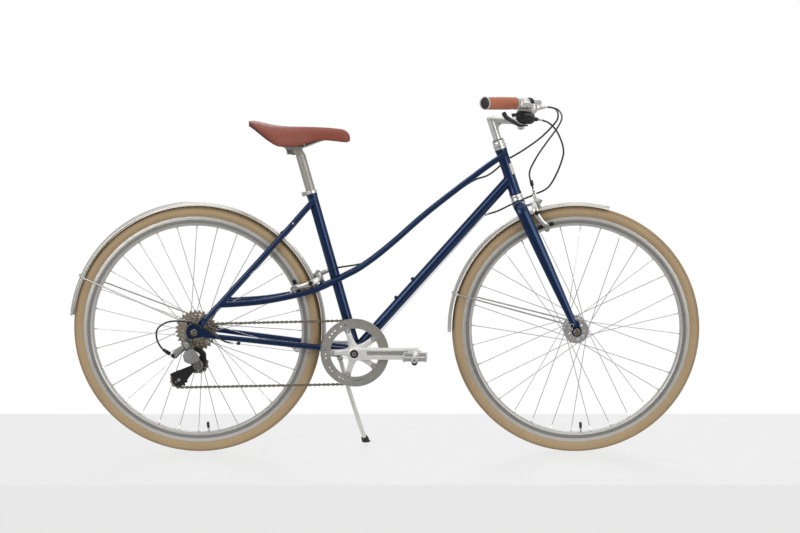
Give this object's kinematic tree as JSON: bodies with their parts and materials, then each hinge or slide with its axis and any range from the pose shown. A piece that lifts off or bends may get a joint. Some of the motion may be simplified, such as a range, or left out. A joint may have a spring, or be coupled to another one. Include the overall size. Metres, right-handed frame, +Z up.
{
  "type": "city bicycle",
  "caption": "Step-through city bicycle with twin top tubes, mudguards, derailleur gears, caliper brakes, swept bar and side stand, leaning on its stand.",
  "frame": {"origin": "centre of the bounding box's bottom face, on the ground", "axes": "+X forwards, +Y to the rider's left, +Z up; the bicycle leans 5 degrees to its left"},
  "size_m": [1.7586, 0.6, 1.0141],
  "materials": {
    "paint": "deep blue metallic enamel",
    "alloy": "satin and polished alloy",
    "steel": "oiled steel",
    "plastic": "black plastic",
    "tyre": "cream rubber",
    "grip": "stitched tan leather",
    "saddle": "brown leather"
  },
  "bodies": {
    "frame": {"bottom_bracket_shell": "paint", "chain": "steel", "chain_stay_left": "paint", "chain_stay_right": "paint", "down_tube": "paint", "gear_cable": "plastic", "head_tube": "paint", "mixte_tube_left": "paint", "mixte_tube_right": "paint", "rear_axle": "alloy", "rear_brake_cable": "plastic", "rear_mudguard": "alloy", "rear_mudguard_stay": "alloy", "seat_stay_left": "paint", "seat_stay_right": "paint", "seat_tube": "paint"},
    "steering": {"brake_bracket_left": "alloy", "brake_bracket_right": "alloy", "fork": "paint", "front_axle": "alloy", "front_brake_cable": "plastic", "front_mudguard": "alloy", "front_mudguard_stay": "alloy", "grip_left": "grip", "grip_right": "grip", "handlebar": "alloy", "headset_top": "alloy", "shifter_pod": "plastic", "stem": "alloy"},
    "brake_lever_right_body": {"brake_lever_right": "alloy"},
    "brake_lever_left_body": {"brake_lever_left": "alloy"},
    "thumb_lever": {"shift_lever_thumb": "plastic"},
    "release_lever": {"shift_lever_release": "plastic"},
    "front_caliper_right_body": {"front_caliper_right": "alloy"},
    "front_caliper_left_body": {"front_caliper_left": "alloy"},
    "rear_caliper_right_body": {"rear_caliper_right": "alloy"},
    "rear_caliper_left_body": {"rear_caliper_left": "alloy"},
    "front_wheel": {"front_hub": "alloy", "front_rim": "alloy", "front_tyre": "tyre"},
    "rear_wheel": {"rear_hub": "alloy", "rear_rim": "alloy", "rear_tyre": "tyre"},
    "sprockets": {"cassette": "steel"},
    "crankset": {"chain_guard_ring": "alloy", "chainring": "alloy", "crank_left": "alloy", "crank_right": "alloy"},
    "pedal_right_body": {"pedal_right": "alloy"},
    "pedal_left_body": {"pedal_left": "alloy"},
    "derailleur_mount": {"derailleur_bracket": "steel"},
    "derailleur_links": {"derailleur_link": "plastic"},
    "derailleur_knuckle_body": {"derailleur_knuckle": "steel"},
    "cage_body": {"derailleur_cage": "plastic"},
    "seat": {"saddle": "saddle", "saddle_rails": "alloy", "seatpost": "alloy"},
    "stand": {"side_stand": "alloy"},
    "guide_pulley_body": {"guide_pulley": "plastic"},
    "tension_pulley_body": {"tension_pulley": "plastic"}
  },
  "joints": [
    {"name": "steering", "type": "hinge", "parent": "frame", "child": "steering", "pos_m": [0.36471, -0.02171, 0.7203], "axis": [-0.3156, 0.0827, 0.9453], "range_deg": [-60, 60], "deforming": ["gear_cable", "rear_brake_cable"]},
    {"name": "front_wheel_spin", "type": "hinge", "parent": "steering", "child": "front_wheel", "pos_m": [0.53335, -0.05457, 0.34468], "axis": [0, 0.9962, -0.0872], "continuous": true},
    {"name": "rear_wheel_spin", "type": "hinge", "parent": "frame", "child": "rear_wheel", "pos_m": [-0.52365, -0.05457, 0.34468], "axis": [0, 0.9962, -0.0872], "continuous": true},
    {"name": "crank_spin", "type": "hinge", "parent": "frame", "child": "crankset", "pos_m": [-0.08144, -0.05963, 0.2869], "axis": [0, 0.9962, -0.0872], "continuous": true},
    {"name": "sprocket_spin", "type": "hinge", "parent": "frame", "child": "sprockets", "pos_m": [-0.52365, -0.05457, 0.34468], "axis": [0, 0.9962, -0.0872], "continuous": true},
    {"name": "pedal_right_spin", "type": "hinge", "parent": "crankset", "child": "pedal_right_body", "pos_m": [0.08856, -0.05963, 0.2869], "axis": [0, 0.9962, -0.0872], "continuous": true},
    {"name": "pedal_left_spin", "type": "hinge", "parent": "crankset", "child": "pedal_left_body", "pos_m": [-0.25144, -0.05963, 0.2869], "axis": [0, 0.9962, -0.0872], "continuous": true},
    {"name": "brake_lever_right", "type": "hinge", "parent": "steering", "child": "brake_lever_right_body", "pos_m": [0.40454, -0.20674, 0.97936], "axis": [0, -0.0872, -0.9962], "range_deg": [0, 20], "stiffness_Nm_per_rad": 2, "springref_deg": -8.59, "deforming": ["rear_brake_cable"]},
    {"name": "brake_lever_left", "type": "hinge", "parent": "steering", "child": "brake_lever_left_body", "pos_m": [0.40454, 0.20549, 0.94329], "axis": [0, 0.0872, 0.9962], "range_deg": [0, 20], "stiffness_Nm_per_rad": 2, "springref_deg": -8.59, "deforming": ["front_brake_cable"]},
    {"name": "shift_lever_thumb", "type": "hinge", "parent": "steering", "child": "thumb_lever", "pos_m": [0.38097, -0.17686, 0.92836], "axis": [0, 0.0872, 0.9962], "range_deg": [0, 25], "stiffness_Nm_per_rad": 0.5, "springref_deg": -8.59, "deforming": ["gear_cable"]},
    {"name": "shift_lever_release", "type": "hinge", "parent": "steering", "child": "release_lever", "pos_m": [0.37097, -0.19037, 0.95283], "axis": [0, 0.9962, -0.0872], "range_deg": [0, 12], "stiffness_Nm_per_rad": 0.3, "springref_deg": -8.59},
    {"name": "front_caliper_right", "type": "hinge", "parent": "steering", "child": "front_caliper_right_body", "pos_m": [0.42429, -0.02349, 0.70003], "axis": [0.9563, 0.0255, 0.2913], "range_deg": [0, 1.5]},
    {"name": "front_caliper_left", "type": "hinge", "parent": "steering", "child": "front_caliper_left_body", "pos_m": [0.42429, -0.02349, 0.70003], "axis": [-0.9563, -0.0255, -0.2913], "range_deg": [0, 1.5]},
    {"name": "rear_caliper_right", "type": "hinge", "parent": "frame", "child": "rear_caliper_right_body", "pos_m": [-0.18352, -0.0412, 0.4976], "axis": [0.3843, -0.0805, -0.9197], "range_deg": [0, 1.5]},
    {"name": "rear_caliper_left", "type": "hinge", "parent": "frame", "child": "rear_caliper_left_body", "pos_m": [-0.18352, -0.0412, 0.4976], "axis": [-0.3843, 0.0805, 0.9197], "range_deg": [0, 1.5]},
    {"name": "derailleur_mount_pivot", "type": "hinge", "parent": "frame", "child": "derailleur_mount", "pos_m": [-0.54294, -0.12455, 0.31929], "axis": [0, 0.9962, -0.0872], "range_deg": [0, 20], "stiffness_Nm_per_rad": 2, "springref_deg": -11.46, "deforming": ["chain", "gear_cable"]},
    {"name": "derailleur_shift", "type": "hinge", "parent": "derailleur_mount", "child": "derailleur_links", "pos_m": [-0.53344, -0.13828, 0.30583], "axis": [0.8351, 0.0479, 0.548], "range_deg": [0, 52], "deforming": ["chain", "gear_cable"]},
    {"name": "derailleur_knuckle_pivot", "type": "hinge", "parent": "derailleur_links", "child": "derailleur_knuckle_body", "pos_m": [-0.51407, -0.1483, 0.27719], "axis": [0.8351, 0.0479, 0.548], "range_deg": [-52, 0]},
    {"name": "derailleur_cage_pivot", "type": "hinge", "parent": "derailleur_knuckle_body", "child": "cage_body", "pos_m": [-0.51144, -0.1221, 0.26125], "axis": [0, -0.9962, 0.0872], "range_deg": [0, 45], "stiffness_Nm_per_rad": 1, "springref_deg": -17.19, "deforming": ["chain"]},
    {"name": "guide_pulley_spin", "type": "hinge", "parent": "cage_body", "child": "guide_pulley_body", "pos_m": [-0.51144, -0.1221, 0.26125], "axis": [0, 0.9962, -0.0872], "continuous": true},
    {"name": "tension_pulley_spin", "type": "hinge", "parent": "cage_body", "child": "tension_pulley_body", "pos_m": [-0.56744, -0.12585, 0.21841], "axis": [0, 0.9962, -0.0872], "continuous": true},
    {"name": "seatpost_height", "type": "slide", "parent": "frame", "child": "seat", "axis": [-0.2656, 0.084, 0.9604], "range_m": [-0.03, 0.05]},
    {"name": "stand_fold", "type": "hinge", "parent": "frame", "child": "stand", "pos_m": [-0.13544, -0.02118, 0.26748], "axis": [-0.0204, 0.9972, -0.0715], "range_deg": [0, 106.84]}
  ],
  "couplings": [
    {"joint": "sprocket_spin", "follows": "crank_spin", "ratio": 4},
    {"joint": "guide_pulley_spin", "follows": "crank_spin", "ratio": -4},
    {"joint": "tension_pulley_spin", "follows": "crank_spin", "ratio": 4},
    {"joint": "front_caliper_right", "follows": "brake_lever_left", "ratio": 0.075},
    {"joint": "front_caliper_left", "follows": "brake_lever_left", "ratio": 0.075},
    {"joint": "rear_caliper_right", "follows": "brake_lever_right", "ratio": 0.075},
    {"joint": "rear_caliper_left", "follows": "brake_lever_right", "ratio": 0.075},
    {"joint": "derailleur_knuckle_pivot", "follows": "derailleur_shift", "ratio": -1}
  ]
}
